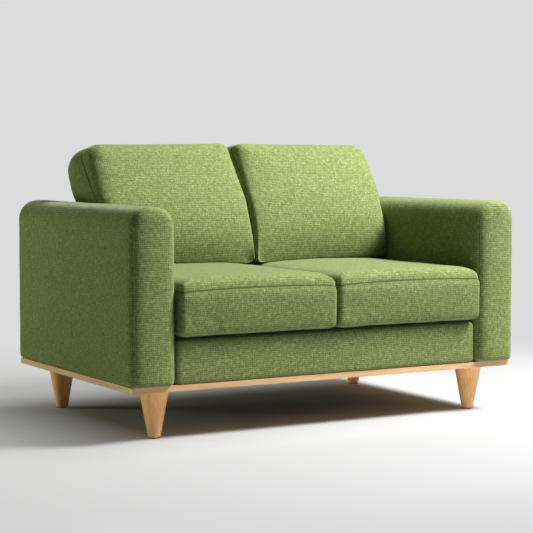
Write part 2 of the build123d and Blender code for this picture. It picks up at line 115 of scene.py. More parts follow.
# A back cushion rests on the seat: the height at its foot where points are lifted, and the gap that is left
rest_zone = 0.030
rest_gap = 0.0005

# Padding: its unevenness and the size of its lumps, how full it is, and how the cushions are blown up
uneven = 0.0022
frame_lumps = 0.16
cushion_lumps = 0.14
filling_pressure = 4
filling_steps = 20

# Sheets under the seat: how far each hangs in the middle, and their cells
lining_sag = 0.004
deck_sag = 0.0015
sheet_cells = (40, 24)

# Seams: how deep the cloth is drawn in, how wide the dip is, and the distance given where no seam is near
seam_depth = 0.0022
seam_width = 0.0060
no_seam = 0.127

# The dark line of a seam, partly the seam itself and partly painted shade of its crease, from where it is
# darkest to where it ends
seam_line_core = 0.0002
seam_line_edge = 0.0016

# Weave: the real threads are about 1.3 mm apart, drawn almost two and a half times as coarse to show.
# A slub is a thick stretch of yarn, and the mottle is uneven dye.
thread = 0.0031
slub = 0.014
mottle = 0.045
weave_relief = 0.0012

# Yarns: how unlike neighbours are, how far apart warp and weft lie in the noise, how much paler every
# second yarn is, how far the upper yarn outweighs the lower, the share of the mottle, and the range of
# all this that is spread over the tones
unlike = 17.3
weft_offset = 500
alternate = 0.24
show_over = 0.15
dye_share = 0.06
tone_low = 0.06
tone_high = 1.22

# Colours, from the darkest to the palest of each material
cloth_tones = [(0.0, "#2C3810"), (0.35, "#5E6B38"), (0.65, "#7F8854"), (1.0, "#B8BC96")]
# The seam line's tone: the seam itself with painted shade of its crease
seam_and_crease_shade_tone = "#3A4620"
bloom_tone = "#F0F2EA"
beech_tones = [(0.30, "#C49763"), (0.45, "#D2A979"), (0.60, "#D9B386"), (0.75, "#E0BD94")]
leg_tones = [(0.30, "#EAA966"), (0.45, "#F4B97A"), (0.60, "#F8C386"), (0.75, "#FBCD92")]
pine_tones = [(0.30, "#B98C54"), (0.50, "#D8B47C"), (0.70, "#E6CB98")]
plywood_tones = [(0.3, "#C9AE7F"), (0.7, "#E0CBA0")]

# Stage: the floor fades into the background away from a rectangle under the sofa, given as half its width and
# half its depth: slowly as far as the end of the fade, and by a share of it close by, which is painted light
# that lifts the sofa's shadow on the floor.
floor_size = 60
floor_tone = "#BDBDBD"
background_tone = "#DCDCDC"
footprint = (0.55, 0.30, 0)
fade_start = 0.2
fade_end = 2.0
# Painted light near the sofa: how far it reaches and how much of the background tone lifts the shadow on the
# floor
shadow_lift_reach = 0.4
shadow_lift_share = 0.45
sky_tone = "#F4F6FA"
sky_strength = 0.012
sofa_middle = (0.1, 0, 0.4)

# Edge tests: how near a plane counts as in it, and how long a run counts as along an axis
touch = 1e-5
least_run = 0.05


# Selecting and shaping
def activate(piece):
    bpy.ops.object.select_all(action="DESELECT")
    piece.select_set(True)
    bpy.context.view_layer.objects.active = piece


def block(name, low, high):
    """A box between two corners, with its place in its mesh."""
    bpy.ops.object.select_all(action="DESELECT")
    bpy.ops.mesh.primitive_cube_add(size=1, location=(Vector(low) + Vector(high)) / 2)
    piece = bpy.context.object
    piece.name = name
    piece.scale = Vector(high) - Vector(low)
    bpy.ops.object.transform_apply(location=True, rotation=True, scale=True)
    return piece


def select(piece, wanted):
    """Selects the edges whose two ends pass the test, and nothing else."""
    mesh = piece.data
    for parts in (mesh.vertices, mesh.edges, mesh.polygons):
        parts.foreach_set("select", [False] * len(parts))
    for edge in mesh.edges:
        ends = [mesh.vertices[i] for i in edge.vertices]
        edge.select = wanted(ends[0].co, ends[1].co)
        if edge.select:
            ends[0].select = True
            ends[1].select = True
    bpy.context.tool_settings.mesh_select_mode = (False, True, False)


def round_edges(piece, wanted, radius, segments):
    select(piece, wanted)
    activate(piece)
    bpy.ops.object.mode_set(mode="EDIT")
    bpy.ops.mesh.bevel(offset=radius, segments=segments, affect="EDGES", clamp_overlap=False)
    bpy.ops.object.mode_set(mode="OBJECT")


def shift_edges(piece, wanted, step):
    select(piece, wanted)
    activate(piece)
    bpy.ops.object.mode_set(mode="EDIT")
    bpy.ops.transform.translate(value=step)
    bpy.ops.object.mode_set(mode="OBJECT")


def on_plane(axis, place):
    """A test for edges that lie in the plane across this axis."""
    return lambda a, b: abs(a[axis] - place) < touch and abs(b[axis] - place) < touch


def runs_along(axis):
    """A test for edges that run along this axis."""
    return lambda a, b: abs(a[axis] - b[axis]) > least_run


def all_of(*tests):
    """A test for edges that pass all of these tests."""
    return lambda a, b: all(test(a, b) for test in tests)


def shape(piece, kind, **settings):
    """Adds a modifier with these settings and applies it."""
    activate(piece)
    modifier = piece.modifiers.new(kind.lower(), kind)
    for key, value in settings.items():
        setattr(modifier, key, value)
    bpy.ops.object.modifier_apply(modifier=modifier.name)


def soften(piece):
    """Takes the hardness off the edges of a form made of even cells."""
    shape(piece, "SMOOTH", factor=0.5, iterations=3)


def points_of(piece):
    points = np.empty(len(piece.data.vertices) * 3, np.float32)
    piece.data.vertices.foreach_get("co", points)
    return points.reshape(-1, 3)


def move_points(piece, points):
    piece.data.vertices.foreach_set("co", np.ascontiguousarray(points, np.float32).ravel())
    piece.data.update()


def normals_of(piece):
    normals = np.empty(len(piece.data.vertices) * 3, np.float32)
    piece.data.vertex_normals.foreach_get("vector", normals)
    return normals.reshape(-1, 3)


def mirrored(piece, name):
    """A copy of the piece for the other side, with a mesh of its own."""
    twin = piece.copy()
    twin.data = piece.data.copy()
    twin.name = name
    bpy.context.scene.collection.objects.link(twin)
    twin.data.transform(Matrix.Scale(-1, 4, (1, 0, 0)))
    twin.data.flip_normals()
    return twin


# Curves and distances that the forms share
def gradual(share):
    """A share from 0 to 1 with soft ends."""
    share = np.clip(share, 0, 1)
    return share * share * (3 - 2 * share)


def roll(distance, size):
    """The height of a padded edge, which rises steeply from its seam and levels out."""
    reach, height = size
    inward = np.clip(distance / reach, 0, 1)
    return height * np.sqrt(1 - (1 - inward) ** 2)


def panel_distance(across, up, low, high, radius):
    """How far points are outside a panel with rounded corners, in its plane, and negative inside it."""
    middle = (np.array(low) + np.array(high)) / 2
    half = (np.array(high) - np.array(low)) / 2
    radius = np.broadcast_to(radius, across.shape)
    over = np.abs(np.stack((across, up), axis=1) - middle) - half + radius[:, None]
    outside = np.hypot(*np.maximum(over, 0).T)
    return outside + np.minimum(over.max(axis=1), 0) - radius


# Seams and cloth
def mark_seam(piece, distance):
    """Keeps each point's distance from the nearest seam, with its sign, for the dip and for the cloth."""
    layer = piece.data.attributes.new("seam", "FLOAT", "POINT")
    layer.data.foreach_set("value", np.ascontiguousarray(distance, np.float32))


def seam_of(piece):
    distance = np.empty(len(piece.data.vertices), np.float32)
    piece.data.attributes["seam"].data.foreach_get("value", distance)
    return distance


def sew(piece):
    """Draws the cloth in along the seams."""
    dip = seam_depth * np.exp(-(seam_of(piece) / seam_width) ** 2)
    move_points(piece, points_of(piece) - normals_of(piece) * dip[:, None])


def rumple(piece, size):
    """The slight unevenness of hand-filled padding."""
    padding = bpy.data.textures.new("padding", "CLOUDS")
    padding.noise_scale = size
    padding.noise_depth = 1
    shape(piece, "DISPLACE", texture=padding, texture_coords="LOCAL", strength=uneven, mid_level=0.5)


def lay_cloth(piece):
    """Makes the cells finer, and lays on a map in metres for the weave along the nearest main direction."""
    shape(piece, "SUBSURF", levels=1, render_levels=1)
    mesh = piece.data
    faces = len(mesh.polygons)
    normals = np.empty(faces * 3, np.float32)
    mesh.polygons.foreach_get("normal", normals)
    facing = np.abs(normals.reshape(-1, 3)).argmax(axis=1)
    corners = np.empty(faces, np.int32)
    mesh.polygons.foreach_get("loop_total", corners)
    owner = np.repeat(facing, corners)
    point = np.empty(len(mesh.loops), np.int32)
    mesh.loops.foreach_get("vertex_index", point)
    places = points_of(piece)
    across = places[point, np.array([1, 0, 0])[owner]]
    up = places[point, np.array([2, 2, 1])[owner]]
    layer = mesh.uv_layers.new(name="cloth")
    layer.data.foreach_set("uv", np.stack((across, up), axis=1).ravel())


def finish_cloth(piece, body, nodes):
    """Smooths a padded piece, dresses it and puts it in the place of its CAD nodes."""
    activate(piece)
    bpy.ops.object.shade_smooth()
    piece.data.materials.clear()
    piece.data.materials.append(upholstery)
    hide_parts(*nodes)
    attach(piece, body)


# Upholstered frame
def padded_form(piece):
    """Turns a hard-edged form into padding under a cover: even cells, softened edges, slight unevenness."""
    shape(piece, "REMESH", mode="VOXEL", voxel_size=frame_cell)
    soften(piece)
    rumple(piece, frame_lumps)


def arm(name):
    """The right arm: rounded along the top, with a panel let into the front and the rear end."""
    low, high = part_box("arm_right_cover")
    piece = block(name, low, high)
    above_foot = lambda a, b: max(a.z, b.z) > low.z + touch
    round_edges(piece, all_of(on_plane(2, high.z), runs_along(1)), arm_top_radius, segments=10)
    round_edges(piece, all_of(on_plane(1, low.y), above_foot), arm_front_radius, segments=5)
    round_edges(piece, all_of(on_plane(1, high.y), above_foot), arm_rear_radius, segments=5)
    round_edges(piece, on_plane(2, low.z), arm_foot_radius, segments=3)
    padded_form(piece)
    places = points_of(piece)
    across = 2 * (places[:, 0] - low.x) / (high.x - low.x) - 1
    ahead = gradual((low.y + 2 * arm_front_radius - places[:, 1]) / arm_front_radius)
    places[:, 1] -= arm_front_dome * ahead * np.clip(1 - across ** 2, 0, 1)
    move_points(piece, places)
    below = low.z - high.z
    mark_seam(piece, arm_seam_fineness * panel_distance(
        places[:, 0], places[:, 2],
        (low.x + arm_panel_side, below), (high.x - arm_panel_side, high.z - arm_panel_top),
        arm_top_radius - arm_panel_side,
    ))
    return piece


def front_rail():
    """The padded rail between the arms, rounded at its front corners and along the top, with no seam."""
    low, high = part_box("front_rail_cover")
    piece = block("front_rail", low, high)
    ahead_of_rear = lambda a, b: min(a.y, b.y) < high.y - touch
    round_edges(piece, all_of(on_plane(1, low.y), runs_along(2)), rail_radius, segments=4)
    round_edges(piece, all_of(on_plane(2, high.z), ahead_of_rear), rail_radius, segments=4)
    padded_form(piece)
    mark_seam(piece, np.full(len(piece.data.vertices), no_seam))
    return piece


def back_body():
    """The fixed back: a sloping face over an upright one, rounded along the top, with a panel on the rear."""
    low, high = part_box("back_cover")
    piece = block("back_body", low, high)
    activate(piece)
    bpy.ops.object.mode_set(mode="EDIT")
    bpy.ops.mesh.select_all(action="SELECT")
    bpy.ops.mesh.bisect(plane_co=(0, 0, back_knee), plane_no=(0, 0, 1))
    bpy.ops.object.mode_set(mode="OBJECT")
    top = on_plane(2, high.z)
    slope = (high.z - back_knee) * tan(back_lean)
    shift_edges(piece, all_of(on_plane(1, low.y), top), (0, slope, 0))
    round_edges(piece, all_of(top, runs_along(0)), back_top_radius, segments=8)
    for end in (low.x, high.x):
        round_edges(piece, on_plane(0, end), back_end_radius, segments=3)
    padded_form(piece)
    places = points_of(piece)
    panel_low = (low.x + back_panel_edge, low.z - high.z)
    panel_high = (high.x - back_panel_edge, high.z - back_panel_edge - back_top_radius)
    rear_panel = panel_distance(places[:, 0], places[:, 2], panel_low, panel_high, back_panel_edge)
    mark_seam(piece, np.where(places[:, 1] > high.y - back_top_radius, rear_panel, no_seam))
    return piece


# Cushions
def blow_up(piece, swell):
    """Fills a cover from inside while its seams hold.
    The swelling along each axis is then brought to its real height."""
    held = piece.vertex_groups.new(name="sewn")
    near = np.flatnonzero(np.abs(seam_of(piece)) < cushion_cell)
    held.add(near.tolist(), 1.0, "REPLACE")
    rest = points_of(piece)
    cloth = piece.modifiers.new("filling", "CLOTH")
    cloth.settings.vertex_group_mass = held.name
    cloth.settings.use_pressure = True
    cloth.settings.uniform_pressure_force = filling_pressure
    cloth.settings.effector_weights.gravity = 0
    scene = bpy.context.scene
    for step in range(filling_steps):
        scene.frame_set(step + 1)
    activate(piece)
    bpy.ops.object.modifier_apply(modifier=cloth.name)
    scene.frame_set(1)
    piece.vertex_groups.clear()
    moved = points_of(piece) - rest
    move_points(piece, rest + moved * (np.array(swell) / np.abs(moved).max(axis=0)))


def seat_cushion(name):
    """The right-hand seat cushion: boxed sides, a rolled and crowned top, and a flat underside."""
    low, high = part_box("seat_cushion_right_cover")
    seam = low.z + seat_boxing
    inset = Vector((cushion_play + seat_swell.x, seat_swell.y - seat_reach, 0))
    piece = block(name, low + inset, Vector((high.x, high.y, seam)) - inset)
    round_edges(piece, runs_along(2), seat_corner, segments=4)
    round_edges(piece, on_plane(2, seam), cushion_edge, segments=2)
    round_edges(piece, on_plane(2, low.z), seat_foot_radius, segments=4)
    shape(piece, "REMESH", mode="VOXEL", voxel_size=cushion_cell)
    places = points_of(piece)
    inside = -panel_distance(places[:, 0], places[:, 1], (low + inset).xy, (high - inset).xy, seat_corner)
    above = places[:, 2] > low.z + seat_boxing / 2
    distance = np.where(above, inside - (seam - places[:, 2]), low.z - seam)
    mark_seam(piece, distance)
    across = 2 * (places[:, 0] - low.x) / (high.x - low.x) - 1
    bow = seat_seam_bow * (1 - across ** 2) * (places[:, 2] - low.z) / seat_boxing
    places[:, 2] += roll(distance, seat_roll) + bow
    move_points(piece, places)
    blow_up(piece, seat_swell)
    soften(piece)
    return piece


def settle_seat(piece):
    """Sews a seat cushion, keeps it above the platform and between its neighbours, and lays its cloth."""
    low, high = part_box("seat_cushion_right_cover")
    rumple(piece, cushion_lumps)
    sew(piece)
    places = points_of(piece)
    places[:, 2] = np.maximum(places[:, 2], low.z)
    side = np.sign(places[:, 0].mean())
    places[:, 0] = side * np.clip(side * places[:, 0], low.x, high.x)
    move_points(piece, places)
    lay_cloth(piece)


def above_back(up):
    """From 0 where a back cushion leans on the fixed back to 1 where it stands free above it."""
    leaning = (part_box("back_cover")[1].z - back_foot) / cos(back_lean)
    return gradual((up - leaning) / back_free_reach)


def foot_height(depth):
    """The height of a back cushion's slanted foot, which stands level once the cushion leans."""
    return depth * tan(back_lean)


def back_block(name, x0, x1):
    """A back cushion's boxed form, made upright with its rear on the plane Y = 0."""
    front = -back_thickness
    piece = block(name, (x0, front, 0), (x1, 0, back_height))
    foot_front = all_of(on_plane(1, front), on_plane(2, 0))
    shift_edges(piece, foot_front, (0, 0, foot_height(front)))
    middle = (x0 + x1) / 2
    top = all_of(runs_along(1), on_plane(2, back_height))
    outer = lambda a, b: min(a.x, b.x) > middle
    inner = lambda a, b: max(a.x, b.x) < middle
    low_down = lambda a, b: max(a.z, b.z) < back_height / 2
    round_edges(piece, all_of(top, outer), back_outer_corner, segments=8)
    round_edges(piece, all_of(top, inner), back_inner_corner, segments=6)
    round_edges(piece, all_of(runs_along(1), low_down), back_foot_corner, segments=5)
    for face in (front, 0):
        round_edges(piece, on_plane(1, face), cushion_edge, segments=2)
    shape(piece, "REMESH", mode="VOXEL", voxel_size=cushion_cell)
    return piece


def back_depths(up, across):
    """How far the front seam and the face stand ahead of the rear, drawn in at the foot."""
    rise = np.clip(2 * up / back_height - 1, 0, 1)
    sink = np.clip(1 - up / back_foot_reach, 0, 1)
    drawn = 1 - np.sqrt(1 - sink ** 2)
    seam_at = back_seam_low + (back_seam_top - back_seam_low) * rise
    seam_at += back_inner_fill * np.clip(1 - across, 0, 1) ** 2
    face_at = back_face_low + (back_face_top - back_face_low) * rise
    return seam_at - back_seam_draw * drawn, face_at - back_foot_draw * drawn


def back_cushion(name):
    """The right-hand back cushion: boxed sides that swell, a domed face, and a foot that rolls under."""
    low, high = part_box("back_cushion_right_cover")
    x0 = low.x + cushion_play + back_swell.x
    x1 = high.x - cushion_play - back_swell.x
    piece = back_block(name, x0, x1)
    places = points_of(piece)
    foot = foot_height(places[:, 1])
    up = back_height * (places[:, 2] - foot) / (back_height - foot)
    across = (places[:, 0] - x0) / (x1 - x0)
    top_corner = np.where(places[:, 0] > (x0 + x1) / 2, back_outer_corner, back_inner_corner)
    radius = np.where(up > back_height / 2, top_corner, back_foot_corner)
    inside = -panel_distance(places[:, 0], up, (x0, 0), (x1, back_height), radius)
    distance = inside - np.minimum(places[:, 1] + back_thickness, -places[:, 1])
    mark_seam(piece, distance)
    seam_at, face_at = back_depths(up, across)
    dome = back_dome * np.sin(pi * np.clip(across, 0, 1)) * np.sin(pi * np.clip(up / back_height, 0, 1))
    padding = roll(distance, (back_roll, 1)) * (face_at - seam_at) + dome
    ahead = places[:, 1] < -back_thickness / 2
    behind = roll(distance, back_rear_roll) * above_back(up)
    outward = normals_of(piece) * (1, 0, 1)
    between = np.clip(-places[:, 1] / back_thickness, 0, 1)
    bulge = back_boxing_swell * np.sin(pi * between) * above_back(up)
    places[:, 1] *= seam_at / back_thickness
    foot = foot_height(places[:, 1])
    places[:, 2] = foot + up * (back_height - foot) / back_height
    places[:, 1] += np.where(ahead, np.where(distance > 0, -padding, 0), behind)
    places += outward * bulge[:, None]
    move_points(piece, places)
    blow_up(piece, back_swell)
    soften(piece)
    return piece


def settle_back(piece, seat):
    """Swells a back cushion over the arm, leans it against the back and rests its foot on the seat."""
    low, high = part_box("back_cushion_right_cover")
    rumple(piece, cushion_lumps)
    sew(piece)
    places = points_of(piece)
    places[:, 1] = np.minimum(places[:, 1], back_rear_roll[1] * above_back(places[:, 2]))
    side = np.sign(places[:, 0].mean())
    arm_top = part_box("arm_right_cover")[1].z
    height = back_foot + places[:, 2] * cos(back_lean) - places[:, 1] * sin(back_lean)
    free = gradual((height - arm_top + back_overhang_drop) / back_free_reach)
    across = np.clip(side * places[:, 0], low.x, high.x + back_boxing_swell * free)
    middle = (low.x + high.x) / 2
    outward = np.clip((across - middle) / (high.x - middle), 0, 1) ** 2
    places[:, 0] = side * (across + back_overhang * outward * free)
    move_points(piece, places)
    lay_cloth(piece)
    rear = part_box("back_cover")[0].y + (back_foot - back_knee) * tan(back_lean)
    lean = Matrix.Rotation(-back_lean, 4, "X")
    piece.data.transform(Matrix.Translation(Vector((0, rear, back_foot))) @ lean)
    rest_on(piece, seat)


def rest_on(piece, seat):
    """Lifts the points of a cushion that would sink into the one below it."""
    mesh = seat.data
    surface = BVHTree.FromPolygons([v.co for v in mesh.vertices], [p.vertices for p in mesh.polygons])
    high_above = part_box("back_cushion_right_cover")[1].z
    for vertex in piece.data.vertices:
        if vertex.co.z > back_foot + rest_zone:
            continue
        hit = surface.ray_cast(Vector((vertex.co.x, vertex.co.y, high_above)), Vector((0, 0, -1)))[0]
        if hit is not None:
            vertex.co.z = max(vertex.co.z, hit.z + rest_gap)
    piece.data.update()


# Sheets
def sheet(name, cad_node, finish, sag):
    """A thin cloth or felt in the place of its CAD node, a little slack in the middle."""
    low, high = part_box(cad_node)
    bpy.ops.object.select_all(action="DESELECT")
    bpy.ops.mesh.primitive_grid_add(x_subdivisions=sheet_cells[0], y_subdivisions=sheet_cells[1], size=1)
    piece = bpy.context.object
    piece.name = name
    piece.scale = (high.x - low.x, high.y - low.y, 1)
    piece.location = ((low.x + high.x) / 2, (low.y + high.y) / 2, low.z)
    bpy.ops.object.transform_apply(location=True, rotation=True, scale=True)
    places = points_of(piece)
    across = 2 * (places[:, 0] - low.x) / (high.x - low.x) - 1
    along = 2 * (places[:, 1] - low.y) / (high.y - low.y) - 1
    places[:, 2] -= sag * (1 - across ** 2) * (1 - along ** 2)
    move_points(piece, places)
    shape(piece, "SOLIDIFY", thickness=high.z - low.z, offset=1)
    piece.data.materials.append(finish)
    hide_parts(cad_node)
    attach(piece, "frame")


# Materials
def linear(hexa):
    """An sRGB hex colour as linear red, green, blue and alpha."""
    parts = [int(hexa[i:i + 2], 16) / 255 for i in (1, 3, 5)]
    return [c / 12.92 if c <= 0.04045 else ((c + 0.055) / 1.055) ** 2.4 for c in parts] + [1]


def node(tree, kind, settings=None, stops=(), **inputs):
    """Adds a shader node with its settings and a ramp's colours.
    An input is named, or numbered as _0, and takes a value or a link from (node, output)."""
    made = tree.nodes.new(kind)
    for key, value in (settings or {}).items():
        setattr(made, key, value)
    for i, (place, colour) in enumerate(stops):
        stored = made.color_ramp.elements
        element = stored[i] if i < len(stored) else stored.new(place)
        element.position = place
        element.color = linear(colour)
    for key, value in inputs.items():
        socket = made.inputs[int(key[1:])] if key[0] == "_" else made.inputs[key]
        if isinstance(value, tuple) and hasattr(value[0], "outputs"):
            tree.links.new(value[0].outputs[value[1]], socket)
        else:
            socket.default_value = value
    return made


def new_material(name, **values):
    """A material and its node tree and main shader, with these constants on the shader."""
    material = bpy.data.materials.new(name)
    material.use_nodes = True
    shader = material.node_tree.nodes["Principled BSDF"]
    for key, value in values.items():
        shader.inputs[key.replace("_", " ")].default_value = value
    return material, material.node_tree, shader


def crossed_yarns(tree, number, place):
    """The tone where yarns cross: each has slubs, every second one is paler, and the upper shows more."""
    yarns = []
    for across, along, layer in ((0, 1, 0), (1, 0, weft_offset)):
        spot = node(tree, "ShaderNodeCombineXYZ", _0=(number, across), _1=(place, along), _2=layer)
        laid = node(tree, "ShaderNodeMapping", Vector=(spot, 0), Scale=(unlike, thread / slub, 1))
        slubs = node(tree, "ShaderNodeTexNoise", Vector=(laid, 0), Scale=1.0, Detail=0.0)
        turn = node(tree, "ShaderNodeMath", {"operation": "PINGPONG"}, _0=(number, across), _1=1.0)
        yarns.append(node(
            tree, "ShaderNodeMath", {"operation": "MULTIPLY_ADD"}, _0=(turn, 0), _1=alternate, _2=(slubs, 0),
        ))
    count = node(tree, "ShaderNodeMath", {"operation": "ADD"}, _0=(number, 0), _1=(number, 1))
    over = node(tree, "ShaderNodeMath", {"operation": "PINGPONG"}, _0=(count, 0), _1=1.0)
    upper = node(tree, "ShaderNodeMapRange", _0=(over, 0), _3=0.5 - show_over, _4=0.5 + show_over)
    return node(tree, "ShaderNodeMix", _0=(upper, 0), _2=(yarns[0], 0), _3=(yarns[1], 0))


def woven_melange():
    """Plain-woven polyester of mixed green yarns: the eye sees pale and dark threads that cross, a soft bloom
    where it looks along the surface, and a dark line where two panels are sewn, which is partly the seam and
    partly painted shade of its crease."""
    material, tree, shader = new_material(
        "woven_melange_upholstery", Roughness=0.9, Specular_IOR_Level=0.2,
        Sheen_Weight=0.28, Sheen_Roughness=0.3, Sheen_Tint=linear(bloom_tone),
    )
    cloth = node(tree, "ShaderNodeUVMap", {"uv_map": "cloth"})
    counted = node(tree, "ShaderNodeVectorMath", {"operation": "SCALE"}, _0=(cloth, "UV"), Scale=1 / thread)
    whole = node(tree, "ShaderNodeVectorMath", {"operation": "FLOOR"}, _0=(counted, 0))
    place = node(tree, "ShaderNodeSeparateXYZ", _0=(counted, 0))
    number = node(tree, "ShaderNodeSeparateXYZ", _0=(whole, 0))
    yarn = crossed_yarns(tree, number, place)
    dye = node(tree, "ShaderNodeTexNoise", {"noise_dimensions": "2D"}, Vector=(cloth, "UV"), Scale=1 / mottle)
    mixed = node(
        tree, "ShaderNodeMath", {"operation": "MULTIPLY_ADD"}, _0=(dye, 0), _1=dye_share, _2=(yarn, 0),
    )
    tone = node(tree, "ShaderNodeMapRange", _0=(mixed, 0), _1=tone_low, _2=tone_high)
    colour = node(tree, "ShaderNodeValToRGB", stops=cloth_tones, Fac=(tone, 0))
    seam = node(tree, "ShaderNodeAttribute", {"attribute_name": "seam"})
    apart = node(tree, "ShaderNodeMath", {"operation": "ABSOLUTE"}, _0=(seam, "Fac"))
    open_cloth = node(tree, "ShaderNodeMapRange", _0=(apart, 0), _1=seam_line_core, _2=seam_line_edge)
    # Painted shade: a dark tone along each seam line stands partly for the seam and partly for the shade in
    # its crease
    sewn = node(
        tree, "ShaderNodeMix", {"data_type": "RGBA"},
        _0=(open_cloth, 0), _6=linear(seam_and_crease_shade_tone), _7=(colour, "Color"),
    )
    rounds = [
        node(tree, "ShaderNodeMath", {"operation": "PINGPONG"}, _0=(place, axis), _1=0.5) for axis in (0, 1)
    ]
    crossing = node(tree, "ShaderNodeMath", {"operation": "MULTIPLY"}, _0=(rounds[0], 0), _1=(rounds[1], 0))
    relief = node(tree, "ShaderNodeMath", {"operation": "MULTIPLY"}, _0=(crossing, 0), _1=(open_cloth, 0))
    bump = node(tree, "ShaderNodeBump", Strength=0.5, Distance=weave_relief, Height=(relief, 0))
    tree.links.new(sewn.outputs[2], shader.inputs["Base Color"])
    tree.links.new(bump.outputs[0], shader.inputs["Normal"])
    return material


def patterned(material, tree, shader, pattern, stops, rough, strength, relief):
    """Takes a material's colour, roughness (from and to) and relief from one pattern."""
    colour = node(tree, "ShaderNodeValToRGB", stops=stops, Fac=(pattern, "Fac"))
    gloss = node(tree, "ShaderNodeMapRange", _0=(pattern, "Fac"), _3=rough[0], _4=rough[1])
    bump = node(tree, "ShaderNodeBump", Strength=strength, Distance=relief, Height=(pattern, "Fac"))
    tree.links.new(colour.outputs["Color"], shader.inputs["Base Color"])
    tree.links.new(gloss.outputs[0], shader.inputs["Roughness"])
    tree.links.new(bump.outputs[0], shader.inputs["Normal"])
    return material


def planed_timber(name, grain, stops, along=0.160, across=0.005):
    """Planed timber: the eye sees fine straight grain along the piece and a low sheen.
    The real pores are under 1 mm wide, and are drawn 5 to 9 mm wide so that they show."""
    material, tree, shader = new_material(name, Specular_IOR_Level=0.4)
    place = node(tree, "ShaderNodeTexCoord")
    size = [1 / across] * 3
    size[grain] = 1 / along
    laid = node(tree, "ShaderNodeMapping", Vector=(place, "Object"), Scale=size)
    lines = node(
        tree, "ShaderNodeTexNoise",
        Vector=(laid, "Vector"), Scale=1.0, Detail=4.0, Roughness=0.55, Distortion=0.4,
    )
    return patterned(material, tree, shader, lines, stops, rough=(0.42, 0.6), strength=0.12, relief=0.0006)


def speckled(name, size, dark, light, roughness, metallic=0.0, relief=0.0003):
    """A plain material whose fibres, spangle or moulding show as fine flecks of two near tones."""
    material, tree, shader = new_material(name, Metallic=metallic)
    place = node(tree, "ShaderNodeTexCoord")
    flecks = node(
        tree, "ShaderNodeTexNoise", Vector=(place, "Object"), Scale=1 / size, Detail=4.0, Roughness=0.6,
    )
    stops = [(0.35, dark), (0.65, light)]
    rough = (roughness - 0.06, roughness + 0.06)
    return patterned(material, tree, shader, flecks, stops, rough, strength=0.3, relief=relief)


upholstery = woven_melange()
# Pale tan boards with an oil finish, one material for each direction of the grain
beech = [planed_timber(f"oiled_beech_grain_{axis}", i, beech_tones) for i, axis in enumerate("xyz")]
# The same timber on the lathe, warmer and closer to honey
turned_beech = planed_timber("turned_oiled_beech", 2, leg_tones)
# Yellow softwood with wider grain
pine = [
    planed_timber(f"planed_pine_grain_{axis}", i, pine_tones, along=0.3, across=0.009)
    for i, axis in enumerate("xyz")
]
# Pale straw-coloured veneer
plywood = planed_timber("birch_plywood", 2, plywood_tones, along=0.2, across=0.006)
# Brown board, dense and dull, with short darker fibres
hardboard = speckled("pressed_hardboard", 0.004, "#5B3F28", "#7C5A3C", 0.75)
# Pale grey metal with a faint spangle, fairly bright
steel = speckled("zinc_plated_steel", 0.006, "#9FA2A6", "#B9BCBF", 0.38, metallic=1.0)
# Nearly black, slightly brown plastic with a dull moulded skin
glide = speckled("moulded_dark_glide", 0.002, "#1B1613", "#2B2420", 0.6)
# Soft mixed greys with no shine
felt = speckled("needled_grey_felt", 0.003, "#6D6E6C", "#8C8D8A", 0.95, relief=0.0008)
# Thin black cloth, dull, with a fine random web
lining = speckled("spunbonded_black_lining", 0.003, "#161616", "#242424", 0.9)
# Cream bands with a dull woven face
webbing = speckled("woven_elastic_webbing", 0.003, "#B9B19E", "#D8D2C2", 0.85)


def dress_nodes():
    """Finishes for the CAD nodes that stay in sight or under the covers."""
    grain = {"front": 0, "back": 0, "left": 1, "right": 1}
    finishes = {f"plinth_{side}": beech[axis] for side, axis in grain.items()}
    finishes.update({f"base_beam_{side}": pine[axis] for side, axis in grain.items()})
    for end in ("front", "back"):
        for side in ("left", "right"):
            finishes[f"leg_{end}_{side}"] = turned_beech
    for side in ("left", "right"):
        for part, finish in {
            "inner_panel": hardboard, "outer_panel": hardboard, "front_post": pine[2], "rear_post": pine[2],
            "top_rail": pine[1], "bottom_rail": pine[1],
        }.items():
            finishes[f"arm_{side}_{part}"] = finish
    for side in ("left", "centre", "right"):
        finishes[f"back_rib_{side}"] = plywood
    for level in ("top", "lumbar", "bottom"):
        finishes[f"back_{level}_rail"] = pine[0]
    for name in (
        "leg_hanger_bolts", "leg_t_nuts", "plinth_screws", "seat_springs", "spring_clips", "arm_bolts",
    ):
        finishes[name] = steel
    finishes.update({
        "base_beam_centre": pine[1], "base_corner_blocks": pine[2], "leg_glides": glide,
        "back_webbing": webbing, "back_rear_panel": hardboard,
    })
    for name, finish in finishes.items():
        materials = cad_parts[name].data.materials
        materials.clear()
        materials.append(finish)


# Build
dress_nodes()
sheet("dust_lining", "dust_cover", lining, lining_sag)
sheet("felt_layer", "seat_felt", felt, deck_sag)
sheet("deck_cloth", "seat_platform_cloth", lining, deck_sag)

right_arm = arm("arm_right")
left_arm = mirrored(right_arm, "arm_left")
fixed_pieces = {"arm_right": right_arm, "arm_left": left_arm, "front_rail": front_rail(), "back": back_body()}
for part, piece in fixed_pieces.items():
    sew(piece)
    lay_cloth(piece)
    finish_cloth(piece, "frame", (f"{part}_cover", f"{part}_padding"))

right_seat = seat_cushion("seat_cushion_right")
left_seat = mirrored(right_seat, "seat_cushion_left")
right_back = back_cushion("back_cushion_right")
left_back = mirrored(right_back, "back_cushion_left")
for seat, back, side in ((right_seat, right_back, "right"), (left_seat, left_back, "left")):
    settle_seat(seat)
    settle_back(back, seat)
    seat_nodes = (f"seat_cushion_{side}_cover", f"seat_cushion_{side}_core")
    back_nodes = (f"back_cushion_{side}_cover", f"back_cushion_{side}_filling")
    finish_cloth(seat, f"seat_cushion_{side}", seat_nodes)
    finish_cloth(back, f"back_cushion_{side}", back_nodes)


